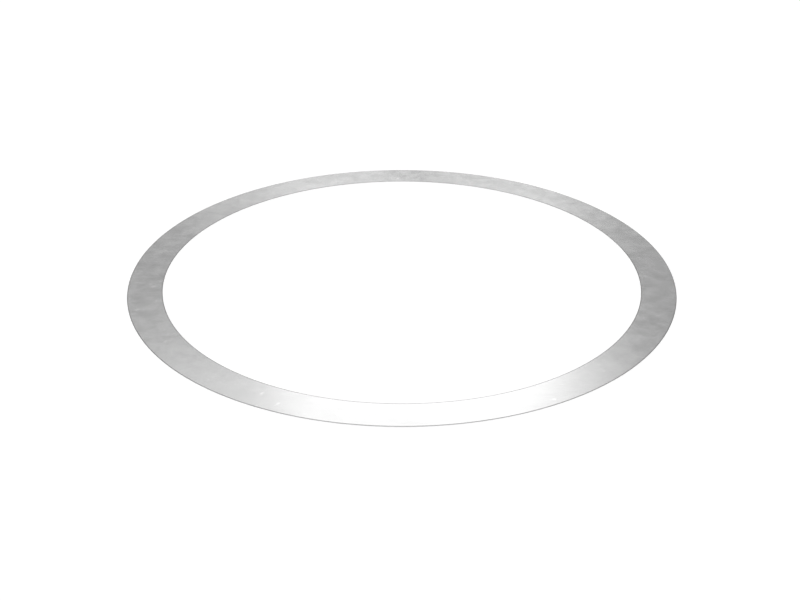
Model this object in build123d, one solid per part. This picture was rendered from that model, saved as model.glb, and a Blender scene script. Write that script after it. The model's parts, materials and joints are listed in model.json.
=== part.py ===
"""Shim ring: a thin flat steel ring, blanked in one stroke from cold-rolled strip.

It goes over a shaft or into a housing and takes up end play between a bearing, gear or pulley and the
shoulder or retaining ring beside it. Lengths are in millimetres. The ring lies flat: its underside is on
z = 0, its bore runs along +Z, and the origin is the centre of the bore on the underside.

The section is that of a blanked edge. A compound tool cuts the bore and the outside in the same stroke
and leaves the burr of both on the underside, so both walls have the same four zones, from the face down:
    rollover   the face bends down over the edge before the tool bites
    land       the tool shears and burnishes a straight wall, which sets the diameter
    fracture   the strip breaks away, and the wall leans back into the material
    break      the burr along the underside is tumbled off, which leaves a small slope
"""

from build123d import *
import os

# The ring
BORE_DIAMETER = 140.0
RING_WIDTH = 10.0
THICKNESS = 0.2

# Its blanked edges
ROLLOVER_WIDTH = 0.1
ROLLOVER_DEPTH = 0.025
LAND_HEIGHT = 0.06
FRACTURE_LEAN = 0.008
EDGE_BREAK = 0.015

OUTSIDE_DIAMETER = BORE_DIAMETER + 2 * RING_WIDTH

OUTSIDE = 1
BORE = -1

def blanked_wall(radius, side):
    """Draws one wall of the section and returns its foot on the underside and its top on the face.

    radius is the land's, and side says which way the wall looks: OUTSIDE or BORE.
    """
    land_top = THICKNESS - ROLLOVER_DEPTH
    land_foot = land_top - LAND_HEIGHT
    fracture_foot = radius - side * FRACTURE_LEAN

    foot = (fracture_foot - side * EDGE_BREAK, 0)
    top = (radius - side * ROLLOVER_WIDTH, THICKNESS)
    Polyline(foot, (fracture_foot, EDGE_BREAK), (radius, land_foot), (radius, land_top))
    TangentArc(top, (radius, land_top), tangent=(side, 0))
    return foot, top

def shim_ring():
    """The whole ring: the section of the strip, turned once round the bore's axis."""
    with BuildPart() as ring:
        with BuildSketch(Plane.XZ):
            with BuildLine():
                bore_foot, bore_top = blanked_wall(BORE_DIAMETER / 2, BORE)
                outside_foot, outside_top = blanked_wall(OUTSIDE_DIAMETER / 2, OUTSIDE)
                Line(bore_foot, outside_foot)
                Line(bore_top, outside_top)
            make_face()
        revolve(axis=Axis.Z)
    return ring.part

os.makedirs("parts", exist_ok=True)
export_step(shim_ring(), "parts/shim_ring.step")
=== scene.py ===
"""Shim ring: its rolled strip steel, its blanked edges and the studio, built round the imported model.

Lengths are in metres and +Z is up. The ring lies on the floor with its bore along +Z, and its strip was
rolled along X, so the grain runs straight across the ring and doesn't follow it round.
"""

import json
import math

import bmesh
import bpy
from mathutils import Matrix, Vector


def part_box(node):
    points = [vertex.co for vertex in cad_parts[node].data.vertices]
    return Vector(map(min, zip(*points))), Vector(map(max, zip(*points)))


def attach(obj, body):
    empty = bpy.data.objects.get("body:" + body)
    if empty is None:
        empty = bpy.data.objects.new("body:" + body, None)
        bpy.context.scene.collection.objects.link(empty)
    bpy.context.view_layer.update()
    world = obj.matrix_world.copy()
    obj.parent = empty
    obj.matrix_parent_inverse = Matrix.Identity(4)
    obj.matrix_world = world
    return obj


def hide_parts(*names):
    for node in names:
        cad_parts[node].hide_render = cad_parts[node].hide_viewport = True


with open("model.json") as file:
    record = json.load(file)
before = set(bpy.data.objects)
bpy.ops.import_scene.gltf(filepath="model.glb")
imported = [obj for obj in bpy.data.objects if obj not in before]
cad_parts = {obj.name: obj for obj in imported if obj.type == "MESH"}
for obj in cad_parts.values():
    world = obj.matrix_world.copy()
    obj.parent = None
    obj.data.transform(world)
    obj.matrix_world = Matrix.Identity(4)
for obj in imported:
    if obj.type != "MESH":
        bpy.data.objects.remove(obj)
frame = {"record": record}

bl_info = {
    "name": "Shim Ring",
    "version": (1, 0, 0),
    "blender": (4, 5, 0),
    "location": "View3D > Sidebar > Shim Ring",
    "description": "Builds a flat shim ring of bright strip steel and the studio that shows it",
    "category": "Add Mesh",
}

MM = 0.001
NODE = "shim_ring"
SLOT = "strip_steel"

ring_low, ring_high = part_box(NODE)
mounts = {mount["name"]: mount for mount in frame["record"]["mounts"]}
slots = {material["slot"]: material for material in frame["record"]["materials"]}

# Width of the camera's sensor, in millimetres as the camera takes it
SENSOR_WIDTH = 36


# ---------------------------------------------------------------------------------------------------------
# Sizes and colours
# ---------------------------------------------------------------------------------------------------------

def length(name, description, default):
    """A length in metres, shown in the scene's unit."""
    return bpy.props.FloatProperty(
        name=name, description=description, default=default, min=0, precision=6, unit="LENGTH"
    )


def grey(name, description, default):
    """A colour, given as the one value of a neutral grey."""
    return bpy.props.FloatVectorProperty(
        name=name, description=description, default=(default,) * 3, min=0, max=1, subtype="COLOR"
    )


def share(name, description, default):
    """A number from 0 to 1."""
    return bpy.props.FloatProperty(
        name=name, description=description, default=default, min=0, max=1, subtype="FACTOR"
    )


class ShimRingSizes(bpy.types.PropertyGroup):
    """The ring's section: strip of one thickness with a blanked wall at the bore and at the outside."""

    bore_radius: length("Bore radius", "Radius of the bore's land", mounts["bore"]["dims"]["r_mm"] * MM)
    outside_radius: length(
        "Outside radius", "Radius of the outside's land", mounts["outside"]["dims"]["r_mm"] * MM
    )
    thickness: length("Thickness", "Thickness of the strip", ring_high.z - ring_low.z)
    rollover_width: length("Rollover width", "How far in from the wall the face bends down", 0.1 * MM)
    rollover_depth: length("Rollover depth", "How far down the face bends", 0.025 * MM)
    land_height: length("Land height", "Height of the burnished wall", 0.06 * MM)
    fracture_lean: length("Fracture lean", "How far the broken wall leans back", 0.008 * MM)
    edge_break: length("Edge break", "Slope left where the burr was tumbled off", 0.015 * MM)
    steps: bpy.props.IntProperty(
        name="Steps", description="Facets round the whole ring", default=720, min=24, max=1440
    )
    rollover_steps: bpy.props.IntProperty(
        name="Rollover steps", description="Facets down the rollover", default=5, min=1, max=12
    )


class ShimRingFinish(bpy.types.PropertyGroup):
    """The finish of the rolled faces and of the blanked walls, with painted shade along the faces' edges and
    wall colours that are partly painted light.
    """

    steel: bpy.props.FloatVectorProperty(
        name="Steel", description="Bare bright steel", default=slots[SLOT]["base_color"], subtype="COLOR"
    )
    # Near-black: painted shade along both edges of the faces, on a band that is also matt
    painted_edge_shade: grey("Rolled edge", "The stretched, matt skin along both edges of the faces", 0.08)
    # Both wall colours are set light, partly as painted light that brightens the walls
    land: grey("Land", "The burnished part of the walls", 0.85)
    fracture: grey("Fracture", "The torn part of the walls", 0.78)
    roughness: share("Roughness", "Roughness of the rolled faces", 0.2)
    # Width of the band that is matt and carries the painted shade along both edges
    matt_shaded_band: length("Edge band", "Width of the matt band along both edges", 0.19 * MM)


class ShimRingStudio(bpy.types.PropertyGroup):
    """The floor, the camera and the brightness of the lamps."""

    floor: grey("Floor", "Pale floor", 0.8)
    glow: share("Glow", "What the camera, mirror and glass see added to the floor, to make it white", 0.325)
    far_glow: share("Far glow", "The same, a metre away and beyond, where the soft boxes light it less", 0.5)
    lamps: bpy.props.FloatProperty(
        name="Lamps", description="Brightness of all the lamps", default=1, min=0, max=4
    )
    lens: bpy.props.FloatProperty(
        name="Lens", description=f"Focal length on a {SENSOR_WIDTH} mm sensor",
        default=55.77, min=10, max=300, unit="CAMERA",
    )
    distance: length("Distance", "From the camera to the middle of the bore", 367.85 * MM)
    elevation: bpy.props.FloatProperty(
        name="Elevation", description="Height of the camera above the floor, as an angle",
        default=math.radians(27.286), min=0, max=math.pi / 2, subtype="ANGLE",
    )


# ---------------------------------------------------------------------------------------------------------
# Shader nodes
# ---------------------------------------------------------------------------------------------------------

class Nodes:
    """Adds nodes to a tree. An input takes a value, or another node's output, which is linked to it."""

    def __init__(self, tree):
        self.tree = tree
        tree.nodes.clear()

    def add(self, kind, settings=None, **inputs):
        """A new node. A space in an input's name is written as an underscore."""
        node = self.tree.nodes.new(kind)
        for name, value in (settings or {}).items():
            setattr(node, name, value)
        for name, value in inputs.items():
            self.plug(node, name.replace("_", " "), value)
        return node

    def plug(self, node, name, value):
        """Fills an input, given by name, or by number where the node has several of one name."""
        socket = node.inputs[int(name)] if name.isdigit() else node.inputs[name]
        if isinstance(value, bpy.types.NodeSocket):
            self.tree.links.new(value, socket)
        else:
            socket.default_value = value

    def math(self, operation, first, second):
        node = self.add("ShaderNodeMath", {"operation": operation})
        self.plug(node, "0", first)
        self.plug(node, "1", second)
        return node.outputs[0]

    def between(self, value, low, high, to_low=0.0, to_high=1.0, smooth=False):
        """value, carried from the range low to high over to the range to_low to to_high."""
        node = self.add(
            "ShaderNodeMapRange", {"interpolation_type": "SMOOTHSTEP" if smooth else "LINEAR"},
            Value=value, From_Min=low, From_Max=high, To_Min=to_low, To_Max=to_high,
        )
        return node.outputs["Result"]

    def mix(self, share_of_second, first, second):
        """A mix of two colours, by the inputs and the output that the node keeps for colours."""
        node = self.add("ShaderNodeMix", {"data_type": "RGBA"})
        self.plug(node, "0", share_of_second)
        self.plug(node, "6", first)
        self.plug(node, "7", second)
        return node.outputs[2]

    def magnitude(self, vector):
        node = self.add("ShaderNodeVectorMath", {"operation": "LENGTH"})
        self.plug(node, "0", vector)
        return node.outputs["Value"]

    def metal(self, material, colour, rough, height):
        """Ends the tree with bare metal, whose relief is height in millimetres, and returns the material."""
        bump = self.add("ShaderNodeBump", None, Strength=1.0, Distance=MM, Height=height)
        shader = self.add(
            "ShaderNodeBsdfPrincipled", None, Base_Color=colour, Metallic=1.0, Roughness=rough,
            Normal=bump.outputs["Normal"],
        )
        self.add("ShaderNodeOutputMaterial", None, Surface=shader.outputs["BSDF"])
        return material

    def noise(self, place, size, detail=2.0, roughness=0.5, distortion=0.0):
        """Fractal noise whose largest features are about size millimetres, from about 0 to 1."""
        node = self.add(
            "ShaderNodeTexNoise", None, Vector=place, Scale=1 / size, Detail=detail, Roughness=roughness,
            Distortion=distortion,
        )
        return node.outputs["Fac"]


# Where nearly all the values of a noise lie
SPREAD = (0.3, 0.7)


def new_material(name):
    """A material with an empty tree, and the tree's nodes."""
    material = bpy.data.materials.new(name)
    material.use_nodes = True
    return material, Nodes(material.node_tree)


def shade(colour, brightness=1.0):
    """The colour made brighter or darker, as a node takes it."""
    return tuple(min(channel * brightness, 1) for channel in colour) + (1,)


def millimetres(nodes, stretch=(1, 1, 1), turn=0.0):
    """The place on the piece in millimetres, turned about Z, and drawn out by stretch along X, Y and Z."""
    place = nodes.add("ShaderNodeTexCoord").outputs["Object"]
    mapping = nodes.add(
        "ShaderNodeMapping", {"vector_type": "TEXTURE"}, Vector=place, Rotation=(0, 0, turn),
        Scale=tuple(MM * s for s in stretch),
    )
    return mapping.outputs["Vector"]


def rolled_face(sizes, finish):
    """Bright cold-rolled strip: soft clouds, a fine straight grain, small bright specks that are painted
    glints, and matt edges with painted shade.
    """
    material, nodes = new_material("rolled_strip")
    place = millimetres(nodes)

    # Soft clouds, a few millimetres across with finer ones inside them, and slow waves under them
    clouds = nodes.noise(place, 4.5, detail=5, roughness=0.6, distortion=0.1)
    waves = nodes.noise(millimetres(nodes, (1.3, 1, 1), 0.3), 8.0, detail=2)

    # The grain of the rolls, along X, and small bright specks, which are painted glints
    grain = nodes.noise(millimetres(nodes, (14, 1, 1)), 0.5, detail=3, roughness=0.6)
    painted_glints = nodes.between(nodes.noise(place, 2.3, detail=1), 0.68, 0.8, smooth=True)

    # How near the place is to either edge, in millimetres, and the matt band there, which fades inwards and
    # carries painted shade
    parts = nodes.add("ShaderNodeSeparateXYZ", None, Vector=place)
    flat = nodes.add("ShaderNodeCombineXYZ", None, X=parts.outputs["X"], Y=parts.outputs["Y"])
    radius = nodes.magnitude(flat.outputs["Vector"])
    from_bore = nodes.math("SUBTRACT", radius, sizes.bore_radius / MM)
    from_outside = nodes.math("SUBTRACT", sizes.outside_radius / MM, radius)
    from_edge = nodes.math("MINIMUM", from_bore, from_outside)
    band = finish.matt_shaded_band / MM
    edge = nodes.between(from_edge, band * 0.6, band, 1.0, 0.0, smooth=True)

    # Colour: clouds and grain of random tone, painted glints on the specks and painted shade on the edge
    # band
    tone = nodes.math("ADD", nodes.math("MULTIPLY", clouds, 0.87), nodes.math("MULTIPLY", grain, 0.13))
    colour = nodes.mix(nodes.between(tone, *SPREAD), shade(finish.steel, 0.92), shade(finish.steel, 1.08))
    # Painted glints: the specks turn brighter steel
    colour = nodes.mix(painted_glints, colour, shade(finish.steel, 1.15))
    # Painted shade: the band along both edges turns near-black
    colour = nodes.mix(edge, colour, shade(finish.painted_edge_shade))

    # Roughness, which varies a little with the clouds and the grain, and is higher on the matt band
    cover = nodes.math("ADD", nodes.math("MULTIPLY", clouds, 0.6), nodes.math("MULTIPLY", grain, 0.4))
    vary = 0.04
    rough = nodes.between(cover, *SPREAD, finish.roughness - vary, finish.roughness + vary)
    rough = nodes.add("ShaderNodeMix", {"data_type": "FLOAT"}, Factor=edge, A=rough, B=0.4)

    # Height of the waves, the clouds and the grain, in millimetres
    height = nodes.math("MULTIPLY", waves, 0.008)
    height = nodes.math("ADD", height, nodes.math("MULTIPLY", clouds, 0.007))
    height = nodes.math("ADD", height, nodes.math("MULTIPLY", grain, 0.0004))
    return nodes.metal(material, colour, rough.outputs["Result"], height)


def blanked_wall(sizes, finish):
    """The wall that the tool leaves: a burnished land above, drawn downwards, and a torn face below, both in
    light colours that are partly painted light.
    """
    material, nodes = new_material("blanked_wall")
    place = millimetres(nodes)

    # The land ends above the fracture along a ragged line
    height = nodes.add("ShaderNodeSeparateXYZ", None, Vector=place).outputs["Z"]
    torn_edge = nodes.noise(millimetres(nodes, (1, 1, 8)), 0.25, detail=3)
    land_foot = (sizes.thickness - sizes.rollover_depth - sizes.land_height) / MM
    ragged = nodes.math("ADD", height, nodes.between(torn_edge, 0, 1, -0.02, 0.02))
    land = nodes.between(ragged, land_foot - 0.004, land_foot + 0.004, smooth=True)

    # Drag lines run down the land, and the fracture is a fine crumble
    drag = nodes.noise(millimetres(nodes, (1, 1, 12)), 0.06, detail=2)
    crumble = nodes.noise(place, 0.05, detail=3, roughness=0.6)
    # The fracture's tone differs at random; both wall colours are set light, partly as painted light
    torn = nodes.mix(
        nodes.between(crumble, *SPREAD), shade(finish.fracture, 0.8), shade(finish.fracture, 1.15)
    )
    colour = nodes.mix(land, torn, shade(finish.land))
    rough = nodes.add(
        "ShaderNodeMix", {"data_type": "FLOAT"}, Factor=land,
        A=0.5, B=nodes.between(drag, *SPREAD, 0.16, 0.26),
    )
    torn_height = nodes.math("MULTIPLY", crumble, nodes.between(land, 0, 1, 0.006, 0.0))
    relief = nodes.math("ADD", torn_height, nodes.math("MULTIPLY", drag, 0.0008))
    return nodes.metal(material, colour, rough.outputs["Result"], relief)


# ---------------------------------------------------------------------------------------------------------
# The ring
# ---------------------------------------------------------------------------------------------------------

# Which way a wall faces: away from the axis, or towards it
OUTSIDE = 1
BORE = -1

# Points nearer to each other than this become one
MERGE_DISTANCE = 0.0001 * MM

# How upright a flat face's normal is at least, and the angle from which an edge shows as a corner
FLAT = 0.99999
SHARP_CORNER = math.radians(20)


def wall_profile(bm, sizes, radius, side):
    """Draws one wall of the section in the XZ plane and returns its foot and its top on the face."""
    land_top = sizes.thickness - sizes.rollover_depth
    fracture_foot = radius - side * sizes.fracture_lean
    foot = bm.verts.new((fracture_foot - side * sizes.edge_break, 0, 0))
    broken_edge = bm.verts.new((fracture_foot, 0, sizes.edge_break))
    land_foot = bm.verts.new((radius, 0, land_top - sizes.land_height))

    # The rollover is an arc that leaves the face flat and ends on the land
    width, depth = sizes.rollover_width, sizes.rollover_depth
    arc_radius = (width ** 2 + depth ** 2) / (2 * depth)
    top = bm.verts.new((radius - side * width, 0, sizes.thickness))
    rollover = bmesh.ops.spin(
        bm, geom=[top], cent=(radius - side * width, 0, sizes.thickness - arc_radius), axis=(0, side, 0),
        angle=math.asin(width / arc_radius), steps=sizes.rollover_steps, use_duplicate=False,
    )
    land_end = next(v for v in rollover["geom_last"] if isinstance(v, bmesh.types.BMVert))

    for first, second in ((foot, broken_edge), (broken_edge, land_foot), (land_foot, land_end)):
        bm.edges.new((first, second))
    return foot, top


def ring_mesh(sizes):
    """The section of the strip, turned once round the bore's axis."""
    bm = bmesh.new()
    bore_foot, bore_top = wall_profile(bm, sizes, sizes.bore_radius, BORE)
    outside_foot, outside_top = wall_profile(bm, sizes, sizes.outside_radius, OUTSIDE)
    bm.edges.new((bore_foot, outside_foot))
    bm.edges.new((bore_top, outside_top))
    bmesh.ops.spin(
        bm, geom=bm.verts[:] + bm.edges[:], cent=(0, 0, 0), axis=(0, 0, 1), angle=2 * math.pi,
        steps=sizes.steps, use_merge=True, use_duplicate=False,
    )
    bmesh.ops.remove_doubles(bm, verts=bm.verts, dist=MERGE_DISTANCE)
    bmesh.ops.recalc_face_normals(bm, faces=bm.faces)

    # Flat faces stay flat, walls and rollovers shade smoothly up to the corners between their zones
    steepest_rollover = 2 * math.atan(sizes.rollover_depth / sizes.rollover_width)
    for face in bm.faces:
        upright = abs(face.normal.z)
        face.smooth = upright < FLAT
        face.material_index = 0 if upright > math.cos(steepest_rollover) else 1
    for edge in bm.edges:
        edge.smooth = edge.calc_face_angle() < SHARP_CORNER

    mesh = bpy.data.meshes.new("rolled_ring")
    bm.to_mesh(mesh)
    bm.free()
    return mesh


class SHIMRING_OT_ring(bpy.types.Operator):
    """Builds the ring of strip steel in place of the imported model's plain one"""

    bl_idname = "shim_ring.ring"
    bl_label = "Build Ring"

    def execute(self, context):
        sizes, finish = context.scene.shim_ring_sizes, context.scene.shim_ring_finish
        ring = bpy.data.objects.new("rolled_ring", ring_mesh(sizes))
        context.scene.collection.objects.link(ring)
        ring.data.materials.append(rolled_face(sizes, finish))
        ring.data.materials.append(blanked_wall(sizes, finish))
        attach(ring, "root")
        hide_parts(NODE)
        return {"FINISHED"}


# ---------------------------------------------------------------------------------------------------------
# The studio
# ---------------------------------------------------------------------------------------------------------

# How far the floor reaches each way
FLOOR_REACH = 10.0

# How far from the middle of the bore the floor's glow starts to grow, and where it has grown to the far glow
GLOW_GROWS = (0.2, 1.0)

# Where the camera is aimed, a little nearer than the middle of the bore
AIM = Vector((-0.5, -15.98, 0)) * MM

# Brightness of the studio's walls and ceiling, by elevation in degrees
WALLS = ((0, 1.0), (14, 1.0), (19, 0.7), (24, 0.5), (36, 0.5), (60, 0.7), (90, 1.0))

# Soft boxes: name, azimuth from +Y towards +X and elevation in degrees, distance, width, height, brightness
SOFT_BOXES = (
    ("highlight", 1.3, 32.1, 0.95, 0.305, 0.29, 0.87),
    ("highlight_rim", -2.5, 35.7, 0.95, 0.55, 0.10, 0.9),
    ("low_left", -7.4, 20.7, 0.85, 0.195, 0.195, 0.245),
    ("low_right", 8.6, 24.5, 0.85, 0.175, 0.31, 0.17),
    ("left_key", -70, 42, 1.0, 0.5, 0.4, 1.4),
    ("right_fill", 78, 38, 1.0, 0.45, 0.35, 1.2),
    ("left_rear", -145, 45, 1.0, 0.5, 0.4, 1.3),
    ("right_rear", 150, 40, 1.0, 0.45, 0.4, 1.3),
)


def studio_floor(studio):
    """A wide pale floor. Camera, mirror and glass see it as white, and the ring's shadow stays on it."""
    bm = bmesh.new()
    bmesh.ops.create_grid(bm, x_segments=1, y_segments=1, size=FLOOR_REACH)
    mesh = bpy.data.meshes.new("floor")
    bm.to_mesh(mesh)
    bm.free()

    material, nodes = new_material("pale_floor")
    paint = nodes.add("ShaderNodeBsdfDiffuse", None, Color=shade(studio.floor))
    rays = nodes.add("ShaderNodeLightPath")
    seen = nodes.math("MAXIMUM", rays.outputs["Is Camera Ray"], rays.outputs["Is Glossy Ray"])
    seen = nodes.math("MAXIMUM", seen, rays.outputs["Is Transmission Ray"])
    away = nodes.magnitude(nodes.add("ShaderNodeTexCoord").outputs["Object"])
    added = nodes.between(away, *GLOW_GROWS, studio.glow, studio.far_glow, smooth=True)
    glow = nodes.add("ShaderNodeEmission", None, Strength=nodes.math("MULTIPLY", seen, added))
    both = nodes.add("ShaderNodeAddShader")
    nodes.plug(both, "0", paint.outputs["BSDF"])
    nodes.plug(both, "1", glow.outputs["Emission"])
    nodes.add("ShaderNodeOutputMaterial", None, Surface=both.outputs["Shader"])

    floor = bpy.data.objects.new("floor", mesh)
    floor.data.materials.append(material)
    bpy.context.scene.collection.objects.link(floor)


def studio_walls():
    """The walls and the ceiling: white at the horizon, greyer above it and pale again overhead."""
    world = bpy.data.worlds.new("studio_walls")
    world.use_nodes = True
    nodes = Nodes(world.node_tree)
    direction = nodes.add("ShaderNodeTexCoord").outputs["Generated"]
    up = nodes.add("ShaderNodeSeparateXYZ", None, Vector=direction).outputs["Z"]
    ramp = nodes.add("ShaderNodeValToRGB", None, Fac=up)
    stops = ramp.color_ramp.elements
    for number, (elevation, brightness) in enumerate(WALLS):
        stop = stops[number] if number < len(stops) else stops.new(1)
        stop.position = math.sin(math.radians(elevation))
        stop.color = shade((brightness,) * 3)
    background = nodes.add("ShaderNodeBackground", None, Color=ramp.outputs["Color"])
    nodes.add("ShaderNodeOutputWorld", None, Surface=background.outputs["Background"])
    bpy.context.scene.world = world


def towards(azimuth, elevation):
    """The direction at an azimuth, from +Y towards +X, and an elevation, both in degrees."""
    turn, rise = math.radians(azimuth), math.radians(elevation)
    return Vector((math.sin(turn) * math.cos(rise), math.cos(turn) * math.cos(rise), math.sin(rise)))


def soft_box(studio, name, azimuth, elevation, distance, width, height, brightness):
    """A rectangular lamp that faces the middle of the bore and shows only in reflections."""
    data = bpy.data.lights.new(name, "AREA")
    data.shape = "RECTANGLE"
    data.size, data.size_y = width, height
    data.energy = studio.lamps * brightness * math.pi * width * height
    lamp = bpy.data.objects.new(name, data)
    back = towards(azimuth, elevation)
    lamp.location = back * distance
    lamp.rotation_mode = "QUATERNION"
    lamp.rotation_quaternion = (-back).to_track_quat("-Z", "Y")
    lamp.visible_camera = False
    bpy.context.scene.collection.objects.link(lamp)


def studio_camera(studio):
    """A camera in front of the ring, aimed a little nearer than the middle of the bore."""
    data = bpy.data.cameras.new("camera")
    data.sensor_width = SENSOR_WIDTH
    data.lens = studio.lens
    camera = bpy.data.objects.new("camera", data)
    camera.location = towards(180, math.degrees(studio.elevation)) * studio.distance
    camera.rotation_mode = "QUATERNION"
    camera.rotation_quaternion = (AIM - camera.location).to_track_quat("-Z", "Y")
    bpy.context.scene.collection.objects.link(camera)
    bpy.context.scene.camera = camera


class SHIMRING_OT_studio(bpy.types.Operator):
    """Builds the pale floor, the studio's walls, the soft boxes and the camera"""

    bl_idname = "shim_ring.studio"
    bl_label = "Build Studio"

    def execute(self, context):
        studio = context.scene.shim_ring_studio
        studio_floor(studio)
        studio_walls()
        for box in SOFT_BOXES:
            soft_box(studio, *box)
        studio_camera(studio)
        context.scene.view_settings.view_transform = "Standard"
        return {"FINISHED"}


# ---------------------------------------------------------------------------------------------------------
# The add-on
# ---------------------------------------------------------------------------------------------------------

class SHIMRING_PT_panel(bpy.types.Panel):
    """Lists the sizes, the finish and the studio, with the buttons that build the ring and the studio"""

    bl_idname = "SHIMRING_PT_panel"
    bl_label = "Shim Ring"
    bl_space_type = "VIEW_3D"
    bl_region_type = "UI"
    bl_category = "Shim Ring"

    def draw(self, context):
        scene = context.scene
        for title, group, operators in (
            ("Sizes", scene.shim_ring_sizes, ()),
            ("Finish", scene.shim_ring_finish, (SHIMRING_OT_ring,)),
            ("Studio", scene.shim_ring_studio, (SHIMRING_OT_studio,)),
        ):
            box = self.layout.box()
            box.label(text=title)
            for name in group.__annotations__:
                box.prop(group, name)
            for operator in operators:
                box.operator(operator.bl_idname)


CLASSES = (
    ShimRingSizes,
    ShimRingFinish,
    ShimRingStudio,
    SHIMRING_OT_ring,
    SHIMRING_OT_studio,
    SHIMRING_PT_panel,
)


def register():
    for cls in CLASSES:
        bpy.utils.register_class(cls)
    bpy.types.Scene.shim_ring_sizes = bpy.props.PointerProperty(type=ShimRingSizes)
    bpy.types.Scene.shim_ring_finish = bpy.props.PointerProperty(type=ShimRingFinish)
    bpy.types.Scene.shim_ring_studio = bpy.props.PointerProperty(type=ShimRingStudio)


def unregister():
    del bpy.types.Scene.shim_ring_studio
    del bpy.types.Scene.shim_ring_finish
    del bpy.types.Scene.shim_ring_sizes
    for cls in reversed(CLASSES):
        bpy.utils.unregister_class(cls)


def main():
    """Registers the add-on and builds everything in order."""
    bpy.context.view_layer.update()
    register()
    bpy.ops.shim_ring.ring()
    bpy.ops.shim_ring.studio()


if __name__ == "__main__":
    main()
